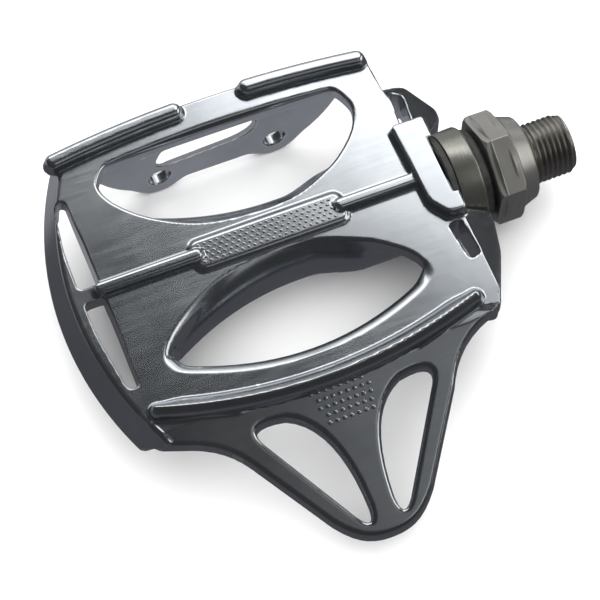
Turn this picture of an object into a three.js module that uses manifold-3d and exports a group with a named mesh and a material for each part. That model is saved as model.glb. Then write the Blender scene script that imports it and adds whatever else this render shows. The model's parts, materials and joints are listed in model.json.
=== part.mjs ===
// A left-hand road pedal for a toe clip and strap, with a one-sided platform and a flip tab at the rear.
// Millimetres. X runs along the spindle towards the crank, Y forward, Z up to the shoe.
// The origin is the centre of the spindle's threaded end face.
import * as THREE from 'three';
import { mergeVertices } from 'three/addons/utils/BufferGeometryUtils.js';
import Module from 'manifold-3d';

const wasm = await Module();
wasm.setup();

// ---- driving dimensions: running clearance and facets ----
const GAP = 0.3;
const FINE = 40;
const COARSE = 28;

// ---- driving dimensions: platform, in plan ----
const MID_X = -75.3;
const RAIL_LEFT_X = -114.2;
const RAIL_RIGHT_X = -36.6;
const FRONT_RAIL = { ends: 33.4, middle: 36.2 };
const REAR_RAIL = { ends: -31.4, middle: -38.2 };
const OUTER_ARC = [[-114.4, 36.2], [-125.2, -3], [-117.8, -38.6]];
// Each opening's edge beside its rail, given like the rails, and its corner at the outer end.
const OPENING = {
  front: { edge: { ends: 27.8, middle: 30.6 }, outer: [-105.6, 26], inner: [-44.4, 24], start: -46.5 },
  rear: { edge: { ends: -17.2, middle: -29.8 }, outer: [-104.4, -21.5], inner: [-45, -21], start: -48 },
};
const INNER_X = -32.2;

// ---- driving dimensions: heights ----
const PLATE_TOP = 7.8;
const PLATE_THICK = 4;
const RAIL_TOP = 10.6;
const RIDGE_TOP = 9.9;
const WALL_BOTTOM = -11.2;
const SKIRT_BOTTOM = -1.2;
const WEB_BOTTOM = -6;

// ---- driving dimensions: ribs ----
const CREST_WIDTH = 2.3;
const RIB_FLARE = 1.3;
const RIB_ROOT = 0.4;
const CLIP_RECESS = [-81.6, -67.2];
const RIDGE_Y = -0.5;
const RIDGE = [-113.6, -37];
const PAD = { x0: -92.5, x1: -56, width: 6.4 };
const CROSS_BAR = { outer: -37.6, rear: -11, front: 12.6 };

// ---- driving dimensions: toe-clip wall ----
const WALL_INNER_Y = 30;
const WALL_THICK = 3;
const WALL_FOOT = [-94, -57];
const WINDOW_TOP = 3.8;
const CLIP_HOLE_Z = -7.8;
const CLIP_HOLE_PITCH = 28.8;
const CLIP_HOLE_R = 2.75;
const CLIP_LOBE_R = 6.4;

// ---- driving dimensions: flip tab ----
const TAB_X = -73.7;
const TAB_HINGE_Y = -36.5;
const TAB_TIP_Y = -72.9;
const TAB_SLOPE = Math.tan(THREE.MathUtils.degToRad(19));
const TAB_THICK = 4;

// ---- driving dimensions: strap slots ----
const OUTER_SLOT = { outer: -118.9, inner: -114, bend: 12, tip: -116.8, front: [1.4, 24], rear: [2.2, 25.4] };
const LOOP_CLEARANCE = 0.8;

// ---- driving dimensions: barrel and bearing sleeve ----
const BARREL_R = 8.8;
const BARREL_END_X = -104;
const BOSS_R = 11.3;
const BOSS_START_X = -44;
const BORE_R = 7.2;
const BORE_STEP_X = -87.2;
const NUT_BORE_R = 6.3;
const BORE_END_X = -96.5;
const FACE_X = -30;
const SHANK = { thread: 8.2, threadEnd: -38.2, pilot: 6.9, end: -45 };
const COLLAR_R = 12;
const COLLAR = { inner: -25.1, outer: -31.9, seat: -29.7 };
const SEAL_SEAT_R = 10.95;

// ---- driving dimensions: spindle ----
const THREAD_R = 7.14;
const THREAD_LENGTH = 10.9;
const SHOULDER_R = 9.8;
const HEX_FLATS = 22.7;
const HEX = { inner: -15, outer: -21.6 };
const NECK_R = 6.8;
const JOURNAL_R = 5.8;
const SHAFT_R = 5;
const TAIL_R = 3.4;
const TAIL_THREAD_R = 3;
const RELIEF_R = 6.44;
const STATION = { neck: -25.6, journal: -31.4, taper: -60, tail: -81.6, thread: -86.6, end: -94.4 };

// ---- driving dimensions: seals, lock washer and lock nut ----
const FACE_SEAL = { inner: 11.1, outer: 11.65, x0: -31.85, x1: -30 };
const LIP_SEAL = { lip: 7.15, outer: 10.4, x0: -25.55, x1: -22.2, chamfer: 0.6 };
const WASHER = { outer: 5.6, x0: -88, x1: -86.8 };
const NUT = { flats: 10, x0: -92.6, x1: -88.3, chamfer: 0.5 };

// ---- driving dimensions: bearings ----
const INBOARD = { x: -28.3, pitch: 8.1, ball: 1.5875, half: 2.5, count: 12, bore: 6.1, outer: 10.4 };
const OUTBOARD = { x: -84.2, pitch: 5.3, ball: 1.19, half: 2.2, count: 11, bore: 3.7, outer: 6.9 };
const RACE_LAND = 0.62;
const GROOVE_STEPS = 5;
const CAGE_BAND = 0.32;

const FINISH = {
  cast: { color: 0x9aa3a8, roughness: 0.32, metalness: 1 },
  sleeve: { color: 0xb4b2a8, roughness: 0.28, metalness: 1 },
  steel: { color: 0x8f8b84, roughness: 0.3, metalness: 1 },
  race: { color: 0xb8bcc2, roughness: 0.15, metalness: 1 },
  ball: { color: 0xd8dade, roughness: 0.05, metalness: 1 },
  cage: { color: 0xa88a4a, roughness: 0.4, metalness: 1 },
  rubber: { color: 0x151515, roughness: 0.75, metalness: 0 },
};

// ---- solids ----

// A closed manifold solid from a three.js geometry, with its faces turned outwards.
function solid(geometry) {
  geometry.deleteAttribute('normal');
  geometry.deleteAttribute('uv');
  const merged = mergeVertices(geometry, 1e-4);
  const positions = merged.attributes.position.array;
  const index = merged.index.array;
  const corners = [new THREE.Vector3(), new THREE.Vector3(), new THREE.Vector3()];
  const kept = [];
  let volume = 0;
  for (let i = 0; i < index.length; i += 3) {
    const [a, b, c] = index.slice(i, i + 3);
    if (a === b || b === c || c === a) continue;
    kept.push([a, b, c]);
    [a, b, c].forEach((vertex, k) => corners[k].fromArray(positions, 3 * vertex));
    volume += corners[0].dot(corners[1].cross(corners[2]));
  }
  const triangles = volume < 0 ? kept.map(([a, b, c]) => [a, c, b]) : kept;
  return new wasm.Manifold(new wasm.Mesh({
    numProp: 3,
    vertProperties: new Float32Array(positions),
    triVerts: new Uint32Array(triangles.flat()),
  }));
}

function geometryOf(body) {
  const mesh = body.getMesh();
  const geometry = new THREE.BufferGeometry();
  geometry.setAttribute('position', new THREE.BufferAttribute(new Float32Array(mesh.vertProperties), 3));
  geometry.setIndex(new THREE.BufferAttribute(new Uint32Array(mesh.triVerts), 1));
  return geometry;
}

const union = (bodies) => bodies.reduce((whole, body) => whole.add(body));
const cut = (body, tools) => tools.reduce((rest, tool) => rest.subtract(tool), body);

// A plan outline raised from z0 to z1.
function slab(shape, z0, z1, curveSegments = 8) {
  const geometry = new THREE.ExtrudeGeometry(shape, { depth: z1 - z0, bevelEnabled: false, curveSegments });
  geometry.translate(0, 0, z0);
  return solid(geometry);
}

// An outline drawn in X and Z, as thick as y1 - y0.
function wall(shape, y0, y1, curveSegments = 8) {
  const geometry = new THREE.ExtrudeGeometry(shape, { depth: y1 - y0, bevelEnabled: false, curveSegments });
  geometry.rotateX(Math.PI / 2);
  geometry.translate(0, y1, 0);
  return solid(geometry);
}

// A ring or bar turned about the spindle axis, from [radius, x] points.
function turned(profile, segments = FINE) {
  const points = profile.map(([radius, x]) => new THREE.Vector2(radius, x));
  const geometry = new THREE.LatheGeometry(points, segments);
  geometry.rotateZ(-Math.PI / 2);
  return solid(geometry);
}

const rod = (radius, x0, x1, segments = FINE) =>
  turned([[0, x0], [radius, x0], [radius, x1], [0, x1]], segments);

const ring = (inner, outer, x0, x1, segments = FINE) =>
  turned([[inner, x0], [outer, x0], [outer, x1], [inner, x1], [inner, x0]], segments);

function polygon(points) {
  return new THREE.Shape(points.map(([x, y]) => new THREE.Vector2(x, y)));
}

// ---- plan curves ----

// The y of a rail's centre line: a shallow bow, highest at mid length.
function railY(rail, x) {
  const halfLength = (RAIL_RIGHT_X - RAIL_LEFT_X) / 2;
  const t = (x - (RAIL_LEFT_X + halfLength)) / halfLength;
  return rail.ends + (rail.middle - rail.ends) * (1 - t * t);
}

function railPoints(rail, x0, x1, offset, steps) {
  return Array.from({ length: steps + 1 }, (_, i) => {
    const x = THREE.MathUtils.lerp(x0, x1, i / steps);
    return [x, railY(rail, x) + offset];
  });
}

// Points on the arc through three plan points, moved outwards by the given offset.
function arcPoints([a, b, c], offset, steps) {
  const [ax, ay] = a;
  const [bx, by] = b;
  const [cx, cy] = c;
  const d = 2 * (ax * (by - cy) + bx * (cy - ay) + cx * (ay - by));
  const [a2, b2, c2] = [a, b, c].map(([x, y]) => x * x + y * y);
  const ux = (a2 * (by - cy) + b2 * (cy - ay) + c2 * (ay - by)) / d;
  const uy = (a2 * (cx - bx) + b2 * (ax - cx) + c2 * (bx - ax)) / d;
  const radius = Math.hypot(ax - ux, ay - uy) + offset;
  const turn = (y, x) => (Math.atan2(y, x) + 2 * Math.PI) % (2 * Math.PI);
  const from = turn(ay - uy, ax - ux);
  const to = turn(cy - uy, cx - ux);
  return Array.from({ length: steps + 1 }, (_, i) => {
    const angle = THREE.MathUtils.lerp(from, to, i / steps);
    return [ux + radius * Math.cos(angle), uy + radius * Math.sin(angle)];
  });
}

// ---- pedal body ----

function platePlan() {
  const front = railPoints(FRONT_RAIL, RAIL_RIGHT_X, RAIL_LEFT_X, 1.7, 10);
  const rear = railPoints(REAR_RAIL, RAIL_LEFT_X, RAIL_RIGHT_X, -1, 10);
  const outer = arcPoints(OUTER_ARC, 0, 14);
  const inner = [[-34.5, -31], [-36, -24], [INNER_X, -12.5], [INNER_X, 11], [-36, 24]];
  return polygon([...front, ...outer, ...rear, ...inner]);
}

// The lens-shaped opening between the barrel and one rail; side is 1 in front and -1 behind.
function openingPlan(side) {
  const { edge, outer, inner, start } = side > 0 ? OPENING.front : OPENING.rear;
  const shape = new THREE.Shape();
  shape.moveTo(...outer);
  shape.bezierCurveTo(-108, side * 20.5, -97, side * 12, -91, side * 8);
  shape.bezierCurveTo(-82, side * 2.2, -68.5, side * 2.2, -60, side * 7);
  shape.bezierCurveTo(-52, side * 12, -44.6, side * 17, ...inner);
  railPoints(edge, start, -103, 0, 10).forEach(([x, y]) => shape.lineTo(x, y));
  return shape;
}

// The spine left between the two openings, as deep as the barrel.
function spineWeb() {
  const block = slab(polygon([[-104, -19], [-46, -17], [-46, 17], [-104, 19]]), WEB_BOTTOM, PLATE_TOP - 1);
  const openings = [1, -1].map((side) => slab(openingPlan(side), WEB_BOTTOM - 1, PLATE_TOP + 1));
  return cut(block, openings);
}

// A raised rib on the plate: sloping sides from a flat crest.
function rib(shape, top) {
  const rise = top - PLATE_TOP + RIB_ROOT;
  const geometry = new THREE.ExtrudeGeometry(shape, {
    depth: RIB_ROOT,
    bevelThickness: rise,
    bevelSize: RIB_FLARE,
    bevelSegments: 1,
    curveSegments: 6,
  });
  geometry.translate(0, 0, top - rise - RIB_ROOT);
  return solid(geometry);
}

function railRib(rail, x0, x1, steps) {
  const half = CREST_WIDTH / 2;
  const upper = railPoints(rail, x0, x1, half, steps);
  const lower = railPoints(rail, x1, x0, -half, steps);
  return rib(polygon([...upper, ...lower]), RAIL_TOP);
}

function bar(x0, x1, y, width) {
  const half = width / 2;
  return polygon([[x0, y - half], [x1, y - half], [x1, y + half], [x0, y + half]]);
}

function ribs() {
  const { outer, rear, front } = CROSS_BAR;
  const inner = INNER_X - RIB_FLARE;
  const crossBar = polygon([
    [outer, rear + 3], [outer + 3, rear], [inner, rear], [inner, front], [outer, front],
  ]);
  return [
    railRib(FRONT_RAIL, -112.6, CLIP_RECESS[0], 5),
    railRib(FRONT_RAIL, CLIP_RECESS[1], -38.2, 5),
    railRib(REAR_RAIL, -113, -37, 10),
    rib(bar(RIDGE[0], PAD.x0, RIDGE_Y, CREST_WIDTH), RIDGE_TOP),
    rib(bar(PAD.x0, PAD.x1, RIDGE_Y, PAD.width), RIDGE_TOP),
    rib(bar(PAD.x1, RIDGE[1], RIDGE_Y, CREST_WIDTH), RIDGE_TOP),
    rib(crossBar, RAIL_TOP),
  ];
}

// The wall under the front rail that takes a toe clip: a window, and a lobe round each bolt hole.
function clipWall() {
  const shape = new THREE.Shape();
  shape.moveTo(-107, PLATE_TOP - 1);
  shape.lineTo(-105.6, 1);
  shape.quadraticCurveTo(-101, -8, WALL_FOOT[0], WALL_BOTTOM);
  shape.lineTo(WALL_FOOT[1], WALL_BOTTOM);
  shape.quadraticCurveTo(-50, -8, -45.4, 1);
  shape.lineTo(-44, PLATE_TOP - 1);
  const y0 = WALL_INNER_Y;
  const y1 = WALL_INNER_Y + WALL_THICK;
  const holeXs = [-0.5, 0.5].map((side) => MID_X + side * CLIP_HOLE_PITCH);
  const disc = (x, radius) => new THREE.Shape().absarc(x, CLIP_HOLE_Z, radius, 0, 2 * Math.PI);
  const window = new THREE.Shape();
  window.moveTo(-88.5, WINDOW_TOP);
  window.quadraticCurveTo(-92.5, -2.8, -87, -3);
  window.lineTo(-71, -1.8);
  window.quadraticCurveTo(-64.2, -0.4, -65.6, WINDOW_TOP);
  const lobes = holeXs.map((x) => wall(disc(x, CLIP_LOBE_R), y0, y1, 10));
  const holes = holeXs.map((x) => wall(disc(x, CLIP_HOLE_R), y0 - 1, y1 + 1, 10));
  return cut(union([wall(shape, y0, y1), ...lobes]), [...holes, wall(window, y0 - 1, y1 + 1)]);
}

// Stiffening walls below the plate along the outer end and the rear rail.
function skirts() {
  const outside = arcPoints(OUTER_ARC, -0.3, 12);
  const inside = arcPoints(OUTER_ARC, -3.6, 12).reverse();
  const rearWall = [
    ...railPoints(REAR_RAIL, -112, -40, 2.6, 8),
    ...railPoints(REAR_RAIL, -40, -112, -0.4, 8),
  ];
  return [
    slab(polygon([...outside, ...inside]), SKIRT_BOTTOM, PLATE_TOP - 1),
    slab(polygon([[-114, 28], [-110.6, 28], [-110.6, -28], [-114, -28]]), SKIRT_BOTTOM, PLATE_TOP - 1),
    slab(polygon(rearWall), SKIRT_BOTTOM, PLATE_TOP - 1),
  ];
}

function tabPlan() {
  const shape = new THREE.Shape();
  shape.moveTo(-116.8, -33);
  shape.lineTo(-117.8, -38.6);
  shape.lineTo(-108, -42.2);
  shape.quadraticCurveTo(-101.5, -44.6, -98, -49.5);
  shape.lineTo(TAB_X - 12, -66.8);
  shape.bezierCurveTo(TAB_X - 8, -71.5, TAB_X - 5, TAB_TIP_Y, TAB_X, TAB_TIP_Y);
  shape.bezierCurveTo(TAB_X + 5, TAB_TIP_Y, TAB_X + 8, -71.5, TAB_X + 12, -66.8);
  shape.lineTo(-49.4, -49);
  shape.bezierCurveTo(-46.4, -43, -42, -38.6, -33, -36.6);
  shape.lineTo(-33.6, -31.6);
  shape.lineTo(-60, -35);
  shape.lineTo(-92, -35);
  return shape;
}

// One tear-shaped window of the tab; side is 1 towards the crank and -1 away from it.
function tabWindow(side) {
  const at = (u) => TAB_X + side * u;
  const shape = new THREE.Shape();
  shape.moveTo(at(13.5), -43.2);
  shape.quadraticCurveTo(at(22.6), -41.6, at(20), -46.4);
  shape.lineTo(at(6.4), -67.2);
  shape.quadraticCurveTo(at(3.2), -71.4, at(3), -66);
  shape.quadraticCurveTo(at(3.4), -48, at(13.5), -43.2);
  return shape;
}

function tab() {
  const slope = new THREE.Matrix4().makeShear(0, 0, 0, TAB_SLOPE, 0, 0);
  const settings = { depth: TAB_THICK, bevelEnabled: false, curveSegments: 6 };
  const geometry = new THREE.ExtrudeGeometry(tabPlan(), settings);
  geometry.translate(0, -TAB_HINGE_Y, PLATE_TOP - TAB_THICK);
  geometry.applyMatrix4(slope);
  geometry.translate(0, TAB_HINGE_Y, 0);
  const above = slab(bar(-130, -20, -40, 90), PLATE_TOP, PLATE_TOP + 20);
  const windows = [1, -1].map((side) => slab(tabWindow(side), -20, 12, 6));
  return cut(solid(geometry), [above, ...windows]);
}

// The strap loops either side of the spindle, at the crank end.
function strapLoops() {
  const front = polygon([[-40, 13], [-29.5, 11], [-25.2, 15.2], [-24.7, 19.6], [-30.2, 25], [-35, 25.4],
    [-38, 28], [-42, 28]]);
  const rear = polygon([[-40, -12], [-27, -9.8], [-24.1, -11.6], [-26.9, -23], [-29.2, -28], [-33, -36],
    [-42, -34]]);
  const loops = [front, rear].map((plan) => slab(plan, SKIRT_BOTTOM, PLATE_TOP));
  const clearance = rod(COLLAR_R + LOOP_CLEARANCE, HEX.inner, INNER_X);
  return loops.map((loop) => loop.subtract(clearance));
}

function strapSlots() {
  const { outer, inner, bend, tip, front, rear } = OUTER_SLOT;
  const outerSlot = (side, [y0, y1]) => polygon([
    [outer, side * y0], [outer + 0.3, side * bend], [tip, side * y1],
    [inner - 0.4, side * y1], [inner, side * bend], [inner, side * y0],
  ]);
  const innerSlot = (side) => polygon([
    [-36, side * 13.6], [-33, side * 13.2], [-31.8, side * 22.6], [-34.8, side * 23.4],
  ]);
  const plans = [outerSlot(1, front), outerSlot(-1, rear), innerSlot(1), innerSlot(-1)];
  return plans.map((plan) => slab(plan, -20, 20));
}

function pedalBody() {
  const openings = [1, -1].map((side) => slab(openingPlan(side), -20, 20));
  const plate = slab(platePlan(), PLATE_TOP - PLATE_THICK, PLATE_TOP);
  const deck = cut(union([plate, ...skirts(), ...strapLoops(), tab()]), openings);
  const barrel = turned([[0, BARREL_END_X], [BARREL_R - 1, BARREL_END_X], [BARREL_R, BARREL_END_X + 2],
    [BARREL_R, -52], [BOSS_R, BOSS_START_X], [BOSS_R, INNER_X], [0, INNER_X]]);
  const abovePlate = slab(bar(-120, INNER_X + 1, 0, 40), PLATE_TOP, 20);
  const bore = turned([[0, BORE_END_X], [NUT_BORE_R, BORE_END_X], [NUT_BORE_R, BORE_STEP_X],
    [BORE_R, BORE_STEP_X], [BORE_R, SHANK.threadEnd - GAP], [SHANK.thread + GAP, SHANK.threadEnd - GAP],
    [SHANK.thread + GAP, FACE_X], [0, FACE_X]]);
  const whole = union([deck, spineWeb(), barrel.subtract(abovePlate), clipWall(), ...ribs()]);
  return cut(whole, [bore, ...strapSlots()]);
}

// ---- bearings ----

// The ball track of a race, as points across the groove from x1 back to x0 at the given edge radius.
function groove(bearing, edge, outward) {
  const track = bearing.ball + GAP;
  const reach = Math.abs(edge - bearing.pitch);
  const open = Math.acos(reach / track);
  const sign = outward ? 1 : -1;
  return Array.from({ length: GROOVE_STEPS + 1 }, (_, i) => {
    const angle = THREE.MathUtils.lerp(-open, open, i / GROOVE_STEPS);
    return [bearing.pitch + sign * track * Math.cos(angle), bearing.x + track * Math.sin(angle)];
  });
}

function innerRace(bearing) {
  const edge = bearing.pitch - bearing.ball * RACE_LAND;
  const [x0, x1] = [bearing.x - bearing.half, bearing.x + bearing.half];
  const track = groove(bearing, edge, false);
  const profile = [[bearing.bore, x0], [edge, x0], ...track, [edge, x1], [bearing.bore, x1]];
  return turned([...profile, profile[0]], COARSE);
}

function outerRace(bearing) {
  const edge = bearing.pitch + bearing.ball * RACE_LAND;
  const [x0, x1] = [bearing.x - bearing.half, bearing.x + bearing.half];
  const track = groove(bearing, edge, true);
  const profile = [[bearing.outer, x0], [edge, x0], ...track, [edge, x1], [bearing.outer, x1]];
  return turned([...profile, profile[0]], COARSE);
}

function ballPlaces(bearing) {
  return Array.from({ length: bearing.count }, (_, i) => {
    const angle = (2 * Math.PI * i) / bearing.count;
    return new THREE.Vector3(bearing.x, bearing.pitch * Math.cos(angle), bearing.pitch * Math.sin(angle));
  });
}

// The retainer: a thin band with one round pocket for each ball.
function ballCage(bearing) {
  const half = bearing.half - 0.25;
  const band = bearing.ball * CAGE_BAND;
  const [x0, x1] = [bearing.x - half, bearing.x + half];
  const ringBody = ring(bearing.pitch - band, bearing.pitch + band, x0, x1, COARSE);
  const pockets = ballPlaces(bearing).map((place) => {
    const geometry = new THREE.SphereGeometry(bearing.ball + GAP, 8, 6);
    geometry.translate(place.x, place.y, place.z);
    return solid(geometry);
  });
  return cut(ringBody, pockets);
}

// ---- sleeve, seals and spindle ----

function bearingSleeve() {
  const pocket = INBOARD.outer + GAP;
  const throat = JOURNAL_R + 0.2;
  return turned([
    [pocket, COLLAR.inner], [COLLAR_R - 0.5, COLLAR.inner], [COLLAR_R, COLLAR.inner - 0.6],
    [COLLAR_R - 0.3, COLLAR.seat], [SEAL_SEAT_R, COLLAR.seat], [SEAL_SEAT_R, COLLAR.outer],
    [SHANK.thread, COLLAR.outer], [SHANK.thread, SHANK.threadEnd], [SHANK.pilot, SHANK.threadEnd],
    [SHANK.pilot, SHANK.end], [throat, SHANK.end], [throat, COLLAR.outer + 0.8], [pocket, COLLAR.outer + 0.8],
    [pocket, COLLAR.inner],
  ]);
}

function faceSeal() {
  return ring(FACE_SEAL.inner, FACE_SEAL.outer, FACE_SEAL.x0, FACE_SEAL.x1);
}

function lipSeal() {
  const { lip, outer, x0, x1, chamfer } = LIP_SEAL;
  return turned([[lip, x0], [outer, x0], [outer, x1 - chamfer], [outer - chamfer, x1], [lip, x1], [lip, x0]]);
}

function hexPrism(flats, x0, x1) {
  const geometry = new THREE.CylinderGeometry(flats / Math.sqrt(3), flats / Math.sqrt(3), x1 - x0, 6);
  geometry.rotateZ(-Math.PI / 2);
  geometry.translate((x0 + x1) / 2, 0, 0);
  return solid(geometry);
}

// A hexagon with its corners turned off at both faces.
function wrenchHex(flats, x0, x1, chamfer) {
  const corner = flats / Math.sqrt(3);
  const limit = turned([[0, x0], [corner - chamfer, x0], [corner, x0 + 0.6 * chamfer],
    [corner, x1 - 0.6 * chamfer], [corner - chamfer, x1], [0, x1]]);
  return hexPrism(flats, x0, x1).intersect(limit);
}

function spindle() {
  const shoulder = -THREAD_LENGTH;
  const core = turned([
    [0, STATION.end], [TAIL_THREAD_R - 0.5, STATION.end], [TAIL_THREAD_R, STATION.end + 0.5],
    [TAIL_THREAD_R, STATION.thread], [TAIL_R, STATION.thread], [TAIL_R, STATION.tail],
    [TAIL_R + 0.8, STATION.tail], [SHAFT_R, STATION.taper], [SHAFT_R, STATION.journal],
    [JOURNAL_R, STATION.journal], [JOURNAL_R, STATION.neck], [NECK_R, STATION.neck],
    [NECK_R, HEX.outer - 0.4], [NECK_R + 1, HEX.outer + 1], [SHOULDER_R + 1.4, HEX.inner - 0.5],
    [SHOULDER_R + 1.4, HEX.inner], [SHOULDER_R, shoulder], [THREAD_R + 0.3, shoulder],
    [RELIEF_R, shoulder - 0.5], [RELIEF_R, shoulder + 1], [THREAD_R, shoulder + 1.7],
    [THREAD_R, -1.2], [THREAD_R - 1.2, 0], [0, 0],
  ]);
  return core.add(wrenchHex(HEX_FLATS, HEX.outer, HEX.inner, 1));
}

const lockWasher = () => ring(TAIL_THREAD_R + GAP, WASHER.outer, WASHER.x0, WASHER.x1, COARSE);

function lockNut() {
  const hole = rod(TAIL_THREAD_R + GAP, NUT.x0 - 1, NUT.x1 + 1, COARSE);
  return wrenchHex(NUT.flats, NUT.x0, NUT.x1, NUT.chamfer).subtract(hole);
}

// ---- assembly ----

function part(name, geometry, finish) {
  const mesh = new THREE.Mesh(geometry, new THREE.MeshStandardMaterial(FINISH[finish]));
  mesh.name = name;
  return mesh;
}

function ballSet(prefix, bearing) {
  const set = new THREE.Group();
  set.add(part(`${prefix}_ball_cage`, geometryOf(ballCage(bearing)), 'cage'));
  ballPlaces(bearing).forEach((place, i) => {
    const number = String(i + 1).padStart(2, '0');
    const ball = part(`${prefix}_ball_${number}`, new THREE.SphereGeometry(bearing.ball, 10, 7), 'ball');
    ball.position.copy(place);
    set.add(ball);
  });
  return set;
}

const pedalGroup = new THREE.Group();
pedalGroup.add(
  part('pedal_body', geometryOf(pedalBody()), 'cast'),
  part('bearing_sleeve', geometryOf(bearingSleeve()), 'sleeve'),
  part('sleeve_face_seal', geometryOf(faceSeal()), 'rubber'),
  part('lip_seal', geometryOf(lipSeal()), 'rubber'),
  part('inboard_outer_race', geometryOf(outerRace(INBOARD)), 'race'),
  part('outboard_outer_race', geometryOf(outerRace(OUTBOARD)), 'race'),
);

const spindleGroup = new THREE.Group();
spindleGroup.add(
  part('spindle', geometryOf(spindle()), 'steel'),
  part('inboard_inner_race', geometryOf(innerRace(INBOARD)), 'race'),
  part('outboard_inner_race', geometryOf(innerRace(OUTBOARD)), 'race'),
  part('lock_washer', geometryOf(lockWasher()), 'steel'),
  part('lock_nut', geometryOf(lockNut()), 'steel'),
);

const pedal = new THREE.Group();
pedal.add(pedalGroup, spindleGroup, ballSet('inboard', INBOARD), ballSet('outboard', OUTBOARD));

export default pedal;
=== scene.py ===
# Bicycle pedal: smooth casting, threaded spindle and seals over the CAD frame.
# Shapes are worked out in millimetres and made in metres. X runs to the crank, Y forward, Z up.
import json
import math

import bmesh
import bpy
import numpy as np
import openvdb
from mathutils import Matrix, Vector


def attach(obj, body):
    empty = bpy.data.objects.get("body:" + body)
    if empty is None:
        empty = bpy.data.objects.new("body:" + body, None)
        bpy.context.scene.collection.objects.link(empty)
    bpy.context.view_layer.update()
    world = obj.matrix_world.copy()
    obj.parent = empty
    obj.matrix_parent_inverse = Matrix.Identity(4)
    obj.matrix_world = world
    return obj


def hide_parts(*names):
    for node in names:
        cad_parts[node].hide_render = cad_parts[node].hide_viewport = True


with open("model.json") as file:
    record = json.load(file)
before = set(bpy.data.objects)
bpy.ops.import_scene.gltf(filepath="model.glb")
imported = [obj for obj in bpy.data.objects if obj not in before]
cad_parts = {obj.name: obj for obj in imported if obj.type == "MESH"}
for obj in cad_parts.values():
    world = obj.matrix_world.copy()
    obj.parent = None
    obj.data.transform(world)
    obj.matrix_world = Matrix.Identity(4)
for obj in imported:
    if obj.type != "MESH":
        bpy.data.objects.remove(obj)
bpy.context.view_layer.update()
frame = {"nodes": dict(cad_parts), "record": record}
MM = 0.001

# ---------------------------------------------------------------- sizes shared with the CAD
RAIL_LEFT = -114.2
RAIL_RIGHT = -36.6
RAIL_HALF = (RAIL_RIGHT - RAIL_LEFT) / 2
# a rail's line: its y at the two ends and in the middle
FRONT_RAIL = (33.4, 36.2)
REAR_RAIL = (-31.4, -38.2)
REAR_CREST = (-32.3, -39.1)
RIDGE = (-0.5, -0.5)
# each opening's edge along its rail, its outer and inner corners, and where the edge starts
OPENING = {1: ((27.8, 30.6), (-105.6, 26), (-44.4, 24), -46.5),
           -1: ((-17.2, -29.8), (-104.4, -21.5), (-45, -21), -48)}
OUTER_ARC = ((-114.4, 36.2), (-125.2, -3.0), (-117.8, -38.6))
PLATE_TOP = 7.8
PLATE_BOTTOM = 3.8
WALL_FOOT = -1.2
RAIL_TOP = 10.6
RIDGE_TOP = 9.9
RIDGE_HALF = 1.25
PAD_TOP = 8.7
PAD_X = (-92.0, -56.4)
PAD_Y = (-3.9, 2.9)
TAB_X = -73.7
HINGE_Y = -36.5
TIP_Y = -72.9
TAB_THICKNESS = 4
TAB_SLOPE = math.tan(math.radians(19))
CLIP_WALL_Y = (30, 33)
CLIP_HOLES = (-89.7, -60.9)
CLIP_HOLE_Z = -7.8
CLIP_HOLE_R = 2.75
CLIP_EAR_R = 6.4
BARREL_R = 8.2
BOSS_R = 11.3
COLLAR_ROOM_R = 12.8
COLLAR_FACE_X = -32.2
# the stepped bore: the radius of each step and its x range
BORES = ((6.3, (-96.5, -85)), (7.2, (-87.2, -36)), (8.5, (-38.5, -20)))
HEX_FLATS = 22.7
HEX_X = (-21.6, -15.0)
SHOULDER_END = -10.9
THREAD_X = (-9.9, 0.0)
THREAD_R = 7.14
THREAD_DEPTH = 0.6
PITCH = 1.27


# ---------------------------------------------------------------- plan curves
CORNER_STEPS = 4


def rail_y(rail, x):
    t = (x - RAIL_LEFT - RAIL_HALF) / RAIL_HALF
    return rail[0] + (rail[1] - rail[0]) * (1 - t * t)


def rail_points(rail, x0, x1, offset, steps=14):
    return [(x, rail_y(rail, x) + offset) for x in np.linspace(x0, x1, steps + 1)]


def circle_through(a, b, c):
    d = 2 * (a[0] * (b[1] - c[1]) + b[0] * (c[1] - a[1]) + c[0] * (a[1] - b[1]))
    a2, b2, c2 = (p[0] ** 2 + p[1] ** 2 for p in (a, b, c))
    ux = (a2 * (b[1] - c[1]) + b2 * (c[1] - a[1]) + c2 * (a[1] - b[1])) / d
    uy = (a2 * (c[0] - b[0]) + b2 * (a[0] - c[0]) + c2 * (b[0] - a[0])) / d
    return ux, uy, math.hypot(a[0] - ux, a[1] - uy)


ARC_X, ARC_Y, ARC_R = circle_through(*OUTER_ARC)


def arc_points(steps):
    """Points along the outer arc, from its front end to its rear end."""
    ends = (OUTER_ARC[0], OUTER_ARC[2])
    first, last = (math.atan2(y - ARC_Y, x - ARC_X) % (2 * math.pi) for x, y in ends)
    turns = np.linspace(first, last, steps + 1)
    return [(ARC_X + ARC_R * math.cos(t), ARC_Y + ARC_R * math.sin(t)) for t in turns]


def bezier(p0, p1, p2, p3, steps=9):
    """Points of a cubic curve after its first one."""
    t = np.linspace(0, 1, steps + 1)[1:, None]
    p0, p1, p2, p3 = (np.array(p, float) for p in (p0, p1, p2, p3))
    q = (1 - t) ** 3 * p0 + 3 * (1 - t) ** 2 * t * p1 + 3 * (1 - t) * t * t * p2 + t ** 3 * p3
    return [tuple(p) for p in q]


def corner(start, p, end):
    """Points of the round curve that takes the place of the corner p."""
    ts = np.linspace(0, 1, CORNER_STEPS + 1)
    return [tuple((1 - t) ** 2 * start + 2 * t * (1 - t) * p + t * t * end) for t in ts]


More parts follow.
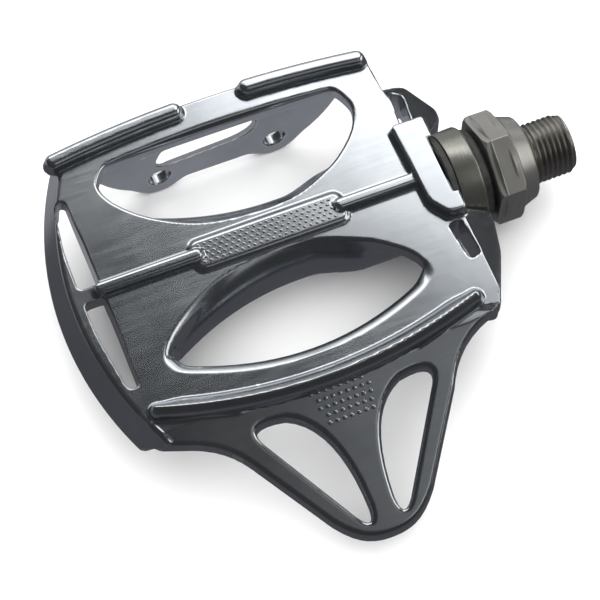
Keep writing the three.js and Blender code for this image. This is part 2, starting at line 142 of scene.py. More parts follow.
def soft(points, radius):
    """The closed outline with its corners rounded."""
    made = []
    for i, point in enumerate(points):
        neighbours = (points[i - 1], points[(i + 1) % len(points)])
        p, a, b = (np.array(q, float) for q in (point, *neighbours))
        la = np.linalg.norm(a - p)
        lb = np.linalg.norm(b - p)
        if la < 1e-6 or lb < 1e-6:
            continue
        if np.dot(a - p, b - p) / la / lb < -0.985:
            made.append(tuple(p))
            continue
        start = p + (a - p) / la * min(radius, 0.45 * la)
        end = p + (b - p) / lb * min(radius, 0.45 * lb)
        made += corner(start, p, end)
    return made


def rounded(profile, radius):
    """The open outline with each corner rounded, its ends kept."""
    made = [profile[0]]
    for a, p, b in zip(profile, profile[1:], profile[2:]):
        a, p, b = (np.array(q, float) for q in (a, p, b))
        la = np.linalg.norm(a - p)
        lb = np.linalg.norm(b - p)
        cut = min(radius, 0.4 * la, 0.4 * lb)
        made += corner(p + (a - p) / la * cut, p, p + (b - p) / lb * cut)
    return made + [profile[-1]]


# ---------------------------------------------------------------- distance fields
def polygon(x, y, points):
    """Signed distance to a closed outline, negative inside."""
    best = np.full(np.broadcast(x, y).shape, 1e9, np.float32)
    inside = np.zeros(best.shape, bool)
    for i, (bx, by) in enumerate(points):
        ax, ay = points[i - 1]
        ex = bx - ax
        ey = by - ay
        length = ex * ex + ey * ey
        if length < 1e-9:
            continue
        wx = x - ax
        wy = y - ay
        t = np.clip((wx * ex + wy * ey) / length, 0, 1)
        best = np.minimum(best, (wx - ex * t) ** 2 + (wy - ey * t) ** 2)
        inside ^= ((y >= ay) != (y >= by)) & ((ex * wy > ey * wx) == (by > ay))
    return np.where(inside, -1, 1) * np.sqrt(best)


def polyline(x, y, points):
    """Distance to an open line."""
    best = np.full(np.broadcast(x, y).shape, 1e9, np.float32)
    for (ax, ay), (bx, by) in zip(points, points[1:]):
        ex = bx - ax
        ey = by - ay
        t = np.clip(((x - ax) * ex + (y - ay) * ey) / (ex * ex + ey * ey), 0, 1)
        best = np.minimum(best, (x - ax - ex * t) ** 2 + (y - ay - ey * t) ** 2)
    return np.sqrt(best)


def join(a, b, r):
    """Union with a fillet of radius r in the inner corner."""
    return np.maximum(r, np.minimum(a, b)) - np.hypot(np.maximum(r - a, 0), np.maximum(r - b, 0))


def meet(a, b, r):
    """Intersection with its edge rounded by r."""
    return np.minimum(-r, np.maximum(a, b)) + np.hypot(np.maximum(a + r, 0), np.maximum(b + r, 0))


def ease(t):
    """0 to 1 with a soft start and end."""
    t = np.clip(t, 0, 1)
    return t * t * (3 - 2 * t)


def between(v, low, high):
    return np.maximum(low - v, v - high)


# ---------------------------------------------------------------- outlines of the casting
def opening_plan(side):
    edge, outer, inner, start = OPENING[side]
    points = [outer]
    points += bezier(points[-1], (-108, side * 20.5), (-97, side * 12), (-91, side * 8))
    points += bezier(points[-1], (-82, side * 2.2), (-68.5, side * 2.2), (-60, side * 7))
    points += bezier(points[-1], (-52, side * 12), (-44.6, side * 17), inner)
    return soft(points + rail_points(edge, start, -103, 0, 20), 2.4)


def tab_plan():
    points = [(-116.4, -32), (-117.9, -39), (-108, -42.2)]
    points += bezier(points[-1], (-103.7, -43.8), (-100.4, -46.2), (-98, -49.5), 6)
    points += [(TAB_X - 12, -66.8)]
    points += bezier(points[-1], (TAB_X - 8, -71.5), (TAB_X - 5, TIP_Y), (TAB_X, TIP_Y), 7)
    points += bezier(points[-1], (TAB_X + 5, TIP_Y), (TAB_X + 8, -71.5), (TAB_X + 12, -66.8), 7)
    points += [(-49.4, -49)]
    points += bezier(points[-1], (-46.4, -43), (-42, -38.6), (-33, -36.6), 8)
    points += [(-33.6, -31.6), (-60, -33), (-92, -33)]
    return soft(points, 1.2)


def tab_window(side):
    def spot(away, y):
        return TAB_X + side * away, y

    points = [spot(13.5, -43.2)]
    points += bezier(points[-1], spot(19.6, -42.1), spot(21.9, -43.2), spot(20, -46.4), 7)
    points += [spot(6.4, -67.2)]
    points += bezier(points[-1], spot(4.3, -70.0), spot(3.2, -69.6), spot(3, -66), 6)
    points += bezier(points[-1], spot(3.3, -54), spot(6.8, -45.9), points[0], 10)
    return points[:-1]


def clip_wall_outline():
    points = [(-107, 6.8), (-105.6, 1)]
    points += bezier(points[-1], (-102.5, -5), (-98.7, -9), (-94, -11.2), 7)
    points += [(-57, -11.2)]
    points += bezier(points[-1], (-52.3, -9), (-48.5, -5), (-45.4, 1), 7)
    return points + [(-44, 6.8)]


def clip_window_outline():
    points = [(-88.5, 3.8)]
    points += bezier(points[-1], (-91.2, -0.6), (-90.7, -2.9), (-87, -3), 6)
    points += [(-71, -1.8)]
    points += bezier(points[-1], (-66.5, -0.9), (-64.7, 1.0), (-65.6, 3.8), 6)
    return soft(points, 1.0)


def outer_slot(side, y0, y1):
    return soft([(-118.9, side * y0), (-118.6, side * 12), (-116.8, side * y1), (-114.4, side * y1),
                 (-114, side * 12), (-114, side * y0)], 1.3)


def inner_slot(side):
    return soft([(-36, side * 13.6), (-33, side * 13.2), (-31.8, side * 22.6), (-34.8, side * 23.4)], 1.1)


PLATE = soft(
    rail_points(FRONT_RAIL, RAIL_RIGHT, RAIL_LEFT, 1.7) + arc_points(18)
    + rail_points(REAR_RAIL, RAIL_LEFT, RAIL_RIGHT, -1.0)
    + [(-34.5, -31), (-36, -24), (-32.2, -12.5), (-32.2, 11), (-36, 24)], 1.6)
FRONT_OPENING = opening_plan(1)
REAR_OPENING = opening_plan(-1)
TAB = tab_plan()
TAB_WINDOWS = [tab_window(1), tab_window(-1)]
CLIP_WALL = clip_wall_outline()
CLIP_WINDOW = clip_window_outline()
FRONT_LOOP = soft([(-40, 13), (-29.5, 11), (-25.2, 15.2), (-24.9, 18.2), (-30.4, 25.2), (-33, 25.2),
                   (-38, 24.4), (-42, 26)], 1.2)
REAR_LOOP = soft([(-40, -12), (-27, -9.8), (-24.1, -11.6), (-26.9, -23), (-29.2, -28), (-33, -36),
                  (-42, -34)], 1.4)
# each strap loop: its plan, the slope of its top, where the slope starts and its lower face
LOOPS = ((FRONT_LOOP, 0.52, -36.2, -5.0), (REAR_LOOP, 0.5, -31.8, WALL_FOOT))
CROSS_BAR = soft([(-38.3, -7.6), (-35.2, -12), (-30.9, -12.3), (-30.9, 13.4), (-38.9, 13.4)], 1.3)
SLOTS = [outer_slot(1, 1.4, 24), outer_slot(-1, 2.2, 25.4), inner_slot(1), inner_slot(-1)]
# each rib: its line and x range, the height and half width of its crest, the flare of its sides,
# the extra flare in front and the rounding
RIBS = [(FRONT_RAIL, (-113.4, -83.4), RAIL_TOP, 1.6, 0.85, 0.0, 1.0),
        (FRONT_RAIL, (-65.4, -38.9), RAIL_TOP, 1.6, 0.85, 0.0, 1.0),
        (REAR_CREST, (-113, -37.8), RAIL_TOP + 0.6, 1.0, 0.9, 1.1, 2.6),
        (RIDGE, (-114.2, PAD_X[0] + 0.4), RIDGE_TOP, RIDGE_HALF, 0.7, 0.0, 0.7),
        (RIDGE, (PAD_X[1] - 0.4, -34), RIDGE_TOP, RIDGE_HALF, 0.7, 0.0, 0.6)]


# ---------------------------------------------------------------- the casting
def plate_and_walls(x, y, z, rim):
    """The plate with the walls below it: the outer skirt, its inner wall and the wall under the rear rail."""
    height = between(z, WALL_FOOT, PLATE_TOP - 1)
    deck = meet(polygon(x, y, PLATE), between(z, PLATE_BOTTOM, PLATE_TOP), 0.5)
    skirt = np.maximum(np.maximum(-3.6 - rim, y - 37), height)
    # its rear end leans forward as it goes down, and the circle's far side is left out
    skirt = meet(skirt, (-37.2 - y - 0.48 * z) * 0.9, 1.0)
    skirt = np.where(x < -95, skirt, 9.0)
    inner_skirt = meet(np.maximum(between(x, -114, -110.6), between(y, -28, 28)), height, 0.5)
    rear_wall = meet(polyline(x, y, rail_points(REAR_RAIL, -112, -40, 1.1, 8)) - 1.5, height, 0.5)
    return join(join(join(deck, skirt, 0.8), inner_skirt, 1.0), rear_wall, 1.0)


def strap_loop(x, y, z, plan, tilt, start, foot):
    """A strap loop at the crank end, its top sloping down."""
    drop = 0.4 * ease(-37 - x) + tilt * np.maximum(x - start, 0)
    top = (z - PLATE_TOP + drop) / math.hypot(1, tilt)
    return meet(polygon(x, y, plan), np.maximum(top, foot - z), 0.6)


def flip_tab(x, y, z):
    raised = z - TAB_SLOPE * (y - HINGE_Y)
    slab = np.maximum(raised - PLATE_TOP, PLATE_TOP - TAB_THICKNESS - raised) * 0.95
    tab = meet(polygon(x, y, TAB), slab, 1.1)
    for plan in TAB_WINDOWS:
        tab = meet(tab, -polygon(x, y, plan), 1.2)
    return np.maximum(tab, z - PLATE_TOP + 0.4)


def hub(x, y, z, r):
    """The spindle barrel, the webs that spread from it and the boss at its crank end."""
    wide = 9.6 + np.where(x < -70, 0.0088 * (x + 70) ** 2, 3.2 * ease((x + 68) / 13))
    high = 9.2
    ky = y / wide
    kz = z / high
    k0 = np.sqrt(ky * ky + kz * kz)
    k1 = np.sqrt((ky / wide) ** 2 + (kz / high) ** 2) + 1e-6
    web = meet(k0 * (k0 - 1) / k1, between(x, -103.6, -45), 1.2)
    barrel = meet(r - BARREL_R, between(x, -104, -40), 1.0)
    cone = (r - 8.8 - (x + 52) * 0.35) * 0.94
    boss = meet(np.maximum(r - BOSS_R, cone), between(x, -52, COLLAR_FACE_X), 0.4)
    return join(join(web, barrel, 1.0), boss, 1.5)


def clip_wall(x, y, z):
    """The wall that the toe clip is bolted to, with its window cut at a slope."""
    holes = [np.hypot(x - hole_x, z - CLIP_HOLE_Z) for hole_x in CLIP_HOLES]
    wall = polygon(x, z, CLIP_WALL)
    for away in holes:
        wall = join(wall, away - CLIP_EAR_R, 1.5)
    wall = meet(wall, between(y, *CLIP_WALL_Y), 0.45)
    wall = meet(wall, -polygon(x, z + 1.1 * (y - CLIP_WALL_Y[0]), CLIP_WINDOW), 0.5)
    for away in holes:
        wall = meet(wall, CLIP_HOLE_R - away, 0.35)
    return wall


def rail_away(x, y, rail, span):
    """Distance to a stretch of a rail's line."""
    near = np.clip(x, *span)
    slope = -2 * (near - RAIL_LEFT - RAIL_HALF) / RAIL_HALF ** 2 * (rail[1] - rail[0])
    return np.hypot(x - near, (y - rail_y(rail, near)) / np.hypot(1, slope))


def ridge_section(away, z, top, half, flare, round_off):
    """A rib with a flat crest and sloping flanks, from the distance to its line."""
    rise = top - PLATE_TOP
    flank = (away - half - flare * np.clip((top - z) / rise, 0, 1.1)) * rise / np.hypot(rise, flare)
    return np.maximum(meet(flank, z - top, round_off), PLATE_TOP - 0.6 - z)


def with_ribs(body, x, y, z):
    """The body with the rails, the ridge, the pad in its middle and the cross bar at its crank end."""
    for rail, span, top, half, flare, extra, round_off in RIBS:
        if extra:
            front = ease((y - rail_y(rail, x)) / 1.2 + 0.5)
            flare = flare + extra * front * ease((x - span[0] + 1) / 8) * ease((span[1] + 1 - x) / 8)
        rib = ridge_section(rail_away(x, y, rail, span), z, top, half, flare, round_off)
        body = join(body, rib, 0.4)
    pad = meet(between(x, *PAD_X), between(y, *PAD_Y), 1.6)
    body = join(body, ridge_section(pad, z, PAD_TOP, 0.0, 0.9, 0.3), 0.4)
    return join(body, ridge_section(polygon(x, y, CROSS_BAR), z, RAIL_TOP, 0.0, 0.4, 0.5), 0.5)


def casting(x, y, z):
    """The whole casting, as a distance that is negative inside."""
    r = np.hypot(y, z)
    rim = np.hypot(x - ARC_X, y - ARC_Y) - ARC_R
    body = plate_and_walls(x, y, z, rim)
    for loop in LOOPS:
        body = np.minimum(body, strap_loop(x, y, z, *loop))
    body = join(body, flip_tab(x, y, z), 1.2)
    # the outer rim leans outwards as it goes down
    body = meet(body, (rim + 3.6 * np.clip((z + 1.2) / 9.0, -1, 1.3)) * 0.93, 0.7)
    # the rear opening's edge rolls over gently at its outer end and along the rail
    roll = 0.8 + 1.2 * ease((-74 - x) / 16) * ease((y + 28) / 10) + 2.4 * ease((-19 - y) / 6)
    body = meet(body, -polygon(x, y, FRONT_OPENING), 0.8)
    body = meet(body, -polygon(x, y, REAR_OPENING), roll)
    body = join(body, hub(x, y, z, r), 2.2)
    body = np.maximum(body, z - PLATE_TOP)
    body = join(body, clip_wall(x, y, z), 0.9)
    body = with_ribs(body, x, y, z)
    # room for the collar, the strap slots and the stepped bore
    body = meet(body, -np.maximum(r - COLLAR_ROOM_R, COLLAR_FACE_X - x), 0.3)
    for plan in SLOTS:
        body = meet(body, -np.maximum(polygon(x, y, plan), -9.0 - z), 0.3)
    for radius, span in BORES:
        body = np.maximum(body, -np.maximum(r - radius, between(x, *span)))
    return body


# ---------------------------------------------------------------- meshes
def slope_at(field, p, reach):
    """Value and gradient of a field at points, from four samples round each."""
    total = np.zeros(len(p), np.float32)
    grad = np.zeros_like(p)
    for way in ((1, -1, -1), (-1, -1, 1), (-1, 1, -1), (1, 1, 1)):
        way = np.array(way, np.float32)
        q = p + reach * way
        value = field(q[:, 0], q[:, 1], q[:, 2])
        total += value / 4
        grad += value[:, None] * way / (4 * reach)
    return total, grad


def surface(name, field, low, high, pitch, normal_reach):
    """A smooth mesh of the field's zero surface, in metres."""
    axes = [np.arange(a - 2 * pitch, b + 2 * pitch, pitch, dtype=np.float32) for a, b in zip(low, high)]
    values = field(axes[0][:, None, None], axes[1][None, :, None], axes[2][None, None, :])
    limit = 4 * pitch
    grid = openvdb.FloatGrid(limit)
    grid.copyFromArray(np.ascontiguousarray(np.clip(values, -limit, limit), np.float32))
    points, _, quads = grid.convertToPolygons(isovalue=0.0, adaptivity=0.0)
    p = (points * pitch + np.array([a[0] for a in axes])).astype(np.float32)
    for _ in range(2):
        value, grad = slope_at(field, p, 0.03)
        size = np.maximum((grad ** 2).sum(1), 0.2)
        step = -value[:, None] * grad / size[:, None]
        p += np.clip(step, -0.6 * pitch, 0.6 * pitch)
    _, grad = slope_at(field, p, normal_reach)
    normals = grad / np.maximum(np.linalg.norm(grad, axis=1), 1e-6)[:, None]
    return mesh_object(name, p, quads.tolist(), normals)


def mesh_object(name, points, faces, normals=None):
    """A smooth-shaded object from points in millimetres."""
    mesh = bpy.data.meshes.new(name)
    mesh.from_pydata((np.asarray(points, float) * MM).tolist(), [], faces)
    mesh.polygons.foreach_set("use_smooth", np.ones(len(mesh.polygons), bool))
    if normals is not None:
        mesh.normals_split_custom_set_from_vertices(np.asarray(normals, float).tolist())
    mesh.update()
    return linked(name, mesh)


def linked(name, data):
    obj = bpy.data.objects.new(name, data)
    bpy.context.scene.collection.objects.link(obj)
    return obj


def skin(name, xs, radii, segments, crease, capped):
    """Rings of points round the X axis, one for each x, joined by faces; crease is in degrees."""
    angles = np.linspace(0, 2 * math.pi, segments, endpoint=False)
    across = np.repeat(xs[:, None], segments, 1)
    points = np.stack([across, radii * np.cos(angles), radii * np.sin(angles)], -1).reshape(-1, 3)
    faces = []
    for first in range(0, (len(xs) - 1) * segments, segments):
        for j in range(segments):
            a = first + j
            b = first + (j + 1) % segments
            faces.append((a, b, b + segments, a + segments))
    if capped:
        faces.append(tuple(range(segments))[::-1])
        faces.append(tuple(range(len(points) - segments, len(points))))
    obj = mesh_object(name, points, faces)
    weld(obj.data)
    obj.data.polygons.foreach_set("use_smooth", np.ones(len(obj.data.polygons), bool))
    obj.data.set_sharp_from_angle(angle=math.radians(crease))
    return obj


def weld(mesh):
    """Joins doubled points and turns faces outwards."""
    work = bmesh.new()
    work.from_mesh(mesh)
    bmesh.ops.remove_doubles(work, verts=work.verts, dist=2e-6)
    bmesh.ops.recalc_face_normals(work, faces=work.faces)
    work.to_mesh(mesh)
    work.free()


def lathe(name, profile):
    """A closed or axis-to-axis profile of (x, radius) turned about X."""
    outline = np.array(profile)
    return skin(name, outline[:, 0], outline[:, 1:], 128, 40, False)


def left_hand_thread(name, x0, x1):
    """A threaded rod. Both ends of the thread run out."""
    segments = 96
    xs = np.linspace(x0, x1, int((x1 - x0) / PITCH * 10) + 1)
    angles = np.linspace(0, 2 * math.pi, segments, endpoint=False)
    phase = (xs[:, None] / PITCH + angles[None, :] / (2 * math.pi)) % 1.0
    saw = 1 - np.abs(2 * phase - 1)
    tooth = np.clip((saw - 0.12) / 0.72, 0, 1)
    fade = ease((x1 - xs) / 1.5)[:, None]
    radii = THREAD_R - THREAD_DEPTH * (1 - tooth) - (1 - fade) * 1.5 * THREAD_DEPTH * tooth
    start = np.clip((xs - x0) / 0.8, 0, 1)[:, None]
    radii = np.minimum(radii, THREAD_R - THREAD_DEPTH + start * THREAD_DEPTH)
    return skin(name, xs, radii, segments, 50, True)


def stud_spots(ys, x0, x1, step, shift, drift):
    """Rows of (x, y) places: every other row is shifted, and each row starts a little further on."""
    return [(x + shift * (row % 2), y) for row, y in enumerate(ys)
            for x in np.arange(x0 + drift * row, x1, step)]


def studs(name, spots, size, height, top, slope, sink):
    """Low round-topped studs on a face that slopes in Y and passes the hinge line at top."""
    ring = 10
    points = []
    faces = []
    for x, y in spots:
        first = len(points)
        z = top + slope * (y - HINGE_Y) - sink
        for level in (0.0, 0.45, 0.8, 0.97):
            across = size * math.sqrt(1 - level * level)
            for t in np.linspace(0, 2 * math.pi, ring, endpoint=False):
                px = across * math.cos(t)
                py = 0.8 * across * math.sin(t)
                points.append((x + px, y + py, z + slope * py + height * level))
        for k in range(first, first + 3 * ring, ring):
            for j in range(ring):
                a = k + j
                b = k + (j + 1) % ring
                faces.append((a, b, b + ring, a + ring))
        faces.append(tuple(range(first + 3 * ring, first + 4 * ring)))
    return mesh_object(name, points, faces)


def spindle_head(x, y, z):
    """The hexagon with its corners turned off, the shoulder, the neck in the seal and the thread's relief."""
    r = np.hypot(y, z)
    flats = np.full(r.shape, -1e9, np.float32)
    for i in range(6):
        t = math.radians(60 * i)
        flats = np.maximum(flats, z * math.sin(t) + y * math.cos(t) - HEX_FLATS / 2)
    head = meet(flats, between(x, *HEX_X), 0.25)
    for end, way in zip(HEX_X, (-1, 1)):
        head = np.maximum(head, (r - HEX_FLATS / math.sqrt(3) + 0.9 + way * (x - end) * 1.5) * 0.55)
    shoulder = (r - 9.8 - 1.4 * (SHOULDER_END - x) / 4.1) * 0.95
    shoulder = meet(shoulder, between(x, -16.5, SHOULDER_END), 0.35)
    neck = np.maximum(r - 6.8, between(x, -25.6, -20))
    flange = np.maximum((r - 7.6 - (x + 22.2) * 2.4) * 0.4, between(x, -22.2, -20))
    relief = np.maximum(r - 6.3, between(x, -12, -9.4))
    head = join(join(head, shoulder, 0.35), join(neck, flange, 0.3), 0.3)
    return join(head, relief, 0.2)


BODY_GRID = 0.42
HEAD_GRID = 0.22
body = surface("pedal_casting", casting, (-125.4, -73.1, -14.4), (-24.2, 38.8, 10.9), BODY_GRID, 0.17)
pad_studs = studs(
    "ridge_studs", stud_spots(np.linspace(-2.7, 1.7, 5), PAD_X[0] + 1.6, PAD_X[1] - 1.6, 1.5, 0.75, 0.0),
    0.52, 0.3, PAD_TOP, 0.0, 0.05)
tab_studs = studs(
    "tab_studs", stud_spots(np.linspace(-40.6, -47.4, 5), -80.4, -67.5, 1.7, 0.7, 0.5),
    0.6, 0.2, PLATE_TOP, TAB_SLOPE, 0.04)
sleeve = lathe("bearing_collar", rounded([
    (-26, 10.75), (-24.1, 10.75), (-24.1, 11.4), (-24.8, 12.0), (-30.2, 11.8), (-30.2, 10.95),
    (-31.9, 10.95), (-31.9, 8.2), (-38.2, 8.2), (-38.2, 6.9), (-45, 6.9), (-45, 6.0), (-31.1, 6.0),
    (-31.1, 10.75), (-26, 10.75)], 0.25))
face_seal = lathe("face_seal_ring", rounded([
    (-31, 11.1), (-31.85, 11.1), (-31.85, 11.65), (-30.4, 11.65), (-30.4, 11.1), (-31, 11.1)], 0.2))
lip_seal = lathe("lip_seal_ring", rounded([
    (-24, 10.7), (-22.8, 10.7), (-22.2, 10.1), (-22.2, 9.4), (-22.9, 8.9), (-22.9, 8.1), (-22.2, 7.7),
    (-22.2, 7.15), (-25.5, 7.15), (-25.5, 10.7), (-24, 10.7)], 0.15))
head = surface("spindle_head", spindle_head, (-25.7, -13.2, -13.2), (-9.3, 13.2, 13.2), HEAD_GRID, 0.03)
stub = left_hand_thread("spindle_thread", *THREAD_X)
shaft = lathe("spindle_shaft", rounded([
    (-94.4, 0), (-94.4, 2.5), (-93.9, 3), (-86.6, 3), (-86.6, 3.4), (-81.6, 3.4), (-81.6, 4.2), (-60, 5),
    (-31.4, 5), (-31.4, 5.8), (-25.6, 5.8), (-25.6, 6.6), (-24, 6.6), (-24, 0)], 0.2))


# ---------------------------------------------------------------- materials
def new_material(name):
    """A node material with its nodes, its links and its shader."""
    mat = bpy.data.materials.new(name)
    mat.use_nodes = True
    nodes = mat.node_tree.nodes
    return mat, nodes, mat.node_tree.links, nodes["Principled BSDF"]


def ramp(nodes, wires, source, stops):
    """The source's value turned into a colour: each stop is a position and a grey or a colour."""
    node = nodes.new("ShaderNodeValToRGB")
    for element, (position, value) in zip(node.color_ramp.elements, stops):
        element.position = position
        element.color = (*value, 1) if isinstance(value, tuple) else (value, value, value, 1)
    wires.new(source, node.inputs["Fac"])
    return node.outputs["Color"]


def noise(nodes, wires, source, scale, detail, stretch=(1, 1, 1)):
    mapping = nodes.new("ShaderNodeMapping")
    mapping.inputs["Scale"].default_value = stretch
    wires.new(source, mapping.inputs["Vector"])
    node = nodes.new("ShaderNodeTexNoise")
    node.inputs["Scale"].default_value = scale
    node.inputs["Detail"].default_value = detail
    node.inputs["Roughness"].default_value = 0.6
    wires.new(mapping.outputs["Vector"], node.inputs["Vector"])
    return node.outputs["Fac"]


def math_node(nodes, wires, kind, a, b):
    node = nodes.new("ShaderNodeMath")
    node.operation = kind
    for socket, value in zip(node.inputs, (a, b)):
        if isinstance(value, (int, float)):
            socket.default_value = value
        else:
            wires.new(value, socket)
    return node.outputs[0]


def weighted(nodes, wires, a, weight_a, b, weight_b):
    part_a = math_node(nodes, wires, "MULTIPLY", a, weight_a)
    part_b = math_node(nodes, wires, "MULTIPLY", b, weight_b)
    return math_node(nodes, wires, "ADD", part_a, part_b)


def mixed(nodes, wires, factor, a, colour):
    """The colour a, with the constant colour mixed in by the factor."""
    node = nodes.new("ShaderNodeMix")
    node.data_type = "RGBA"
    wires.new(factor, node.inputs[0])
    wires.new(a, node.inputs[6])
    node.inputs[7].default_value = (*colour, 1)
    return node.outputs[2]


def bump(nodes, wires, shader, height, strength, distance):
    node = nodes.new("ShaderNodeBump")
    node.inputs["Strength"].default_value = strength
    node.inputs["Distance"].default_value = distance
    wires.new(height, node.inputs["Height"])
    wires.new(node.outputs["Normal"], shader.inputs["Normal"])


def metal(name, dark, light, edge, rough, brush, brush_scale, relief, metallic=1.0):
    """Brushed, slightly worn metal: colour and roughness vary, edges are polished brighter."""
    mat, nodes, wires, shader = new_material(name)
    place = nodes.new("ShaderNodeTexCoord").outputs["Object"]
    cloud = noise(nodes, wires, place, 60, 5.0)
    fine = noise(nodes, wires, place, brush_scale, 2.0, brush)
    grit = noise(nodes, wires, place, 900, 2.0)
    tint = ramp(nodes, wires, cloud, [(0.3, dark), (0.7, light)])
    point = nodes.new("ShaderNodeNewGeometry").outputs["Pointiness"]
    worn = ramp(nodes, wires, point, [(0.51, 0.0), (0.58, 1.0)])
    patchy = math_node(nodes, wires, "MULTIPLY", worn, math_node(nodes, wires, "ADD", fine, 0.3))
    wires.new(mixed(nodes, wires, patchy, tint, edge), shader.inputs["Base Color"])
    streak = nodes.new("ShaderNodeMapRange")
    streak.inputs["From Min"].default_value = 0.3
    streak.inputs["From Max"].default_value = 0.7
    streak.inputs["To Min"].default_value = rough[0]
    streak.inputs["To Max"].default_value = rough[1]
    wires.new(weighted(nodes, wires, fine, 0.6, cloud, 0.4), streak.inputs["Value"])
    wires.new(streak.outputs["Result"], shader.inputs["Roughness"])
    shader.inputs["Metallic"].default_value = metallic
    bump(nodes, wires, shader, weighted(nodes, wires, fine, 0.7, grit, 0.12), relief, 0.00015)
    return mat


def rubber(name):
    """Dull black rubber with a little dust."""
    mat, nodes, wires, shader = new_material(name)
    place = nodes.new("ShaderNodeTexCoord").outputs["Object"]
    dust = ramp(nodes, wires, noise(nodes, wires, place, 300, 6.0), [(0.35, 0.012), (0.75, 0.035)])
    wires.new(dust, shader.inputs["Base Color"])
    shader.inputs["Roughness"].default_value = 0.55
    bump(nodes, wires, shader, noise(nodes, wires, place, 1800, 3.0), 0.25, 0.0001)
    return mat


cast = metal("cast_aluminium", (0.50, 0.53, 0.56), (0.61, 0.64, 0.67), (0.84, 0.86, 0.88),
             rough=(0.19, 0.26), brush=(1, 14, 14), brush_scale=70, relief=0.03)
alloy = metal("sleeve_alloy", (0.26, 0.26, 0.235), (0.34, 0.338, 0.30), (0.55, 0.54, 0.48),
              rough=(0.24, 0.36), brush=(30, 1, 1), brush_scale=120, relief=0.1, metallic=0.93)
steel = metal("spindle_steel", (0.46, 0.455, 0.43), (0.56, 0.55, 0.52), (0.70, 0.69, 0.65),
              rough=(0.32, 0.46), brush=(30, 1, 1), brush_scale=120, relief=0.12, metallic=0.95)
# the thread is the spindle's own steel, painted darker here as painted shade for the dark band along the
# threaded stub
shaded_thread_steel = metal("thread_steel_painted_shade", (0.36, 0.345, 0.32), (0.46, 0.45, 0.42), (0.60, 0.58, 0.54),
              rough=(0.26, 0.38), brush=(30, 1, 1), brush_scale=120, relief=0.12)
race = metal("race_steel", (0.60, 0.61, 0.63), (0.72, 0.73, 0.75), (0.85, 0.86, 0.88),
             rough=(0.08, 0.16), brush=(40, 1, 1), brush_scale=200, relief=0.05)
ball = metal("ball_steel", (0.74, 0.75, 0.77), (0.82, 0.83, 0.85), (0.9, 0.9, 0.92),
             rough=(0.03, 0.08), brush=(1, 1, 1), brush_scale=300, relief=0.02)
brass = metal("cage_brass", (0.50, 0.38, 0.17), (0.66, 0.52, 0.26), (0.8, 0.66, 0.4),
              rough=(0.28, 0.42), brush=(20, 1, 1), brush_scale=200, relief=0.15)
black = rubber("seal_rubber")
SLOT_MATERIALS = {"cast_aluminium": cast, "sleeve_alloy": alloy, "spindle_steel": steel,
                  "race_steel": race, "ball_steel": ball, "cage_brass": brass, "seal_rubber": black}


def paint(obj, mat):
    obj.data.materials.clear()
    obj.data.materials.append(mat)


for entry in frame["record"]["subparts"]:
    paint(frame["nodes"][entry["node"]], SLOT_MATERIALS[entry["material_slot"]])

for piece, node, carrier, slot in (
        (body, "pedal_body", "pedal", "cast_aluminium"),
        (pad_studs, "pedal_body", "pedal", "cast_aluminium"),
        (tab_studs, "pedal_body", "pedal", "cast_aluminium"),
        (sleeve, "bearing_sleeve", "pedal", "sleeve_alloy"),
        (face_seal, "sleeve_face_seal", "pedal", "seal_rubber"),
        (lip_seal, "lip_seal", "pedal", "seal_rubber"),
        (head, "spindle", "spindle", "spindle_steel"),
        (stub, "spindle", "spindle", "spindle_steel"),
        (shaft, "spindle", "spindle", "spindle_steel")):
    # the threaded stub takes the darker copy of the spindle steel, which is painted shade
    paint(piece, shaded_thread_steel if piece is stub else SLOT_MATERIALS[slot])
    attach(piece, carrier)
    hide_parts(node)


# ---------------------------------------------------------------- floor and camera, in metres
FLOOR_Z = -0.0145
FLOOR_HALF = 3.0


def level(x0, x1, y0, y1, z):
    """Corners of a level sheet."""
    return [(x0, y0, z), (x1, y0, z), (x1, y1, z), (x0, y1, z)]


def sheet(name, corners, mat):
    """A flat sheet of the set."""
    mesh = bpy.data.meshes.new(name)
    mesh.from_pydata(corners, [], [(0, 1, 2, 3)])
    mesh.materials.append(mat)
    obj = linked(name, mesh)
    return obj


floor_white, _, _, floor_shader = new_material("floor_white")
floor_shader.inputs["Base Color"].default_value = (0.9, 0.9, 0.9, 1)
floor_shader.inputs["Roughness"].default_value = 0.9
floor = sheet("floor", level(-FLOOR_HALF, FLOOR_HALF, -FLOOR_HALF, FLOOR_HALF, FLOOR_Z), floor_white)
floor.visible_glossy = False


def camera_axes(azimuth, elevation, roll):
    """The camera's right, up and backward directions."""
    a, e, c = (math.radians(v) for v in (azimuth, elevation, roll))
    back = np.array([math.sin(a) * math.cos(e), -math.cos(a) * math.cos(e), math.sin(e)])
    right = np.cross([0, 0, 1.0], back)
    right /= np.linalg.norm(right)
    up = np.cross(back, right)
    return math.cos(c) * right + math.sin(c) * up, -math.sin(c) * right + math.cos(c) * up, back


AIM = np.array([-74.3, -19.4, 8.8])
CAMERA_DISTANCE = 550
right, up, back = camera_axes(-22.7, 63.5, 0.9)
camera = bpy.data.cameras.new("camera")
camera.sensor_width = 36
camera.lens = 149.28
camera.clip_start = 0.01
camera.clip_end = 20
camera_object = linked("camera", camera)
turn = Matrix([[right[i], up[i], back[i]] for i in range(3)])
eye = Vector((AIM + CAMERA_DISTANCE * back) * MM)
camera_object.matrix_world = Matrix.Translation(eye) @ turn.to_4x4()
bpy.context.scene.camera = camera_object

# ---------------------------------------------------------------- light, in metres
# the plate darkens along this level direction
ALONG = Vector((0.75, 0.66, 0)).normalized()
ACROSS = Vector((ALONG.y, -ALONG.x, 0))
UPWARD = Vector((0, 0, 1))
KEY_HEIGHT = 0.45
WHITE = (1, 1, 1)
WARM = (1, 1, 0.98)
COOL = (0.95, 0.95, 1.0)


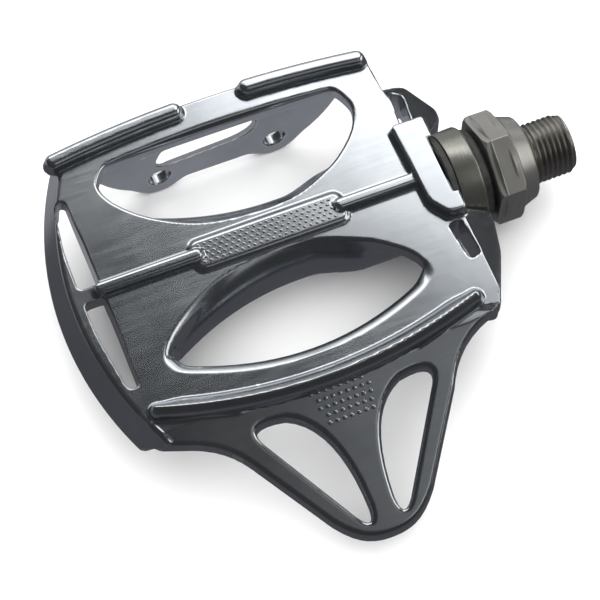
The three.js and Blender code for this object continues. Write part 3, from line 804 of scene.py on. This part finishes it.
def panel(name, x0, x1, y0, y1, height, radiance):
    """A softbox of even brightness over the set, its sides across and along the direction above.
    Mirrors do not see it, so it lights the floor and leaves the metal's reflections alone."""
    light = bpy.data.lights.new(name, "AREA")
    light.shape = "RECTANGLE"
    light.size = x1 - x0
    light.size_y = y1 - y0
    light.energy = radiance * math.pi * (x1 - x0) * (y1 - y0)
    obj = linked(name, light)
    where = ACROSS * (x0 + x1) / 2 + ALONG * (y0 + y1) / 2 + UPWARD * height
    obj.matrix_world = Matrix.Translation(where) @ Matrix((ACROSS, ALONG, UPWARD)).transposed().to_4x4()
    obj.visible_glossy = False


def slanting(x0, x1, y0, y1, z):
    """Corners of a level sheet laid like a panel."""
    return [tuple(ACROSS * x + ALONG * y + UPWARD * z) for x, y, _ in level(x0, x1, y0, y1, z)]


def card(name, corners, radiance, colour):
    """A glowing sheet that only mirrors see, for what the metal reflects from its surroundings."""
    mat, nodes, wires, _ = new_material(name)
    glow = nodes.new("ShaderNodeEmission")
    glow.inputs["Color"].default_value = (*colour, 1)
    glow.inputs["Strength"].default_value = radiance
    wires.new(glow.outputs["Emission"], nodes["Material Output"].inputs["Surface"])
    obj = sheet(name, corners, mat)
    obj.visible_camera = False
    obj.visible_diffuse = False
    obj.visible_shadow = False


panel("key_panel", -0.9, 0.06, 0.194, 1.1, KEY_HEIGHT, 2.3)
panel("floor_light", -1.5, 1.5, -1.5, 1.5, 1.3, 2.6)
card("key_sheet", slanting(-0.9, 0.06, 0.196, 0.36, KEY_HEIGHT), 2.75, WHITE)
card("key_fade", slanting(-0.9, 0.06, 0.36, 1.1, KEY_HEIGHT), 1.1, WHITE)
card("paper_below", level(-1, 1, -1, 1, FLOOR_Z - 0.001), 0.1, (0.93, 0.91, 1.0))
card("paper_under_clip", level(-0.13, -0.03, 0.012, 0.06, FLOOR_Z - 0.0009), 0.32, (0.93, 0.93, 1.0))
card("paper_ahead", level(-1, 1, 0.06, 1.2, FLOOR_Z - 0.0008), 0.42, COOL)
card("sheet_behind", level(0.085, 0.26, -0.46, -0.29, 0.5), 0.6, WARM)
card("sheet_above", level(0.0, 0.3, -0.28, -0.1, 0.5), 0.24, WHITE)
card("sheet_crank_side", [(0.5, -0.4, 0.16), (0.5, 0.1, 0.16), (0.5, 0.1, 0.5), (0.5, -0.4, 0.5)], 1.6,
     (1, 1, 0.97))
card("wall_ahead", [(-1, 1.3, -0.02), (1, 1.3, -0.02), (1, 1.3, 0.5), (-1, 1.3, 0.5)], 0.38, WARM)
world = bpy.data.worlds.new("world")
world.use_nodes = True
world.node_tree.nodes["Background"].inputs["Color"].default_value = (0.92, 0.95, 1.0, 1)
world.node_tree.nodes["Background"].inputs["Strength"].default_value = 0.045
bpy.context.scene.world = world
bpy.context.scene.view_settings.view_transform = "Standard"
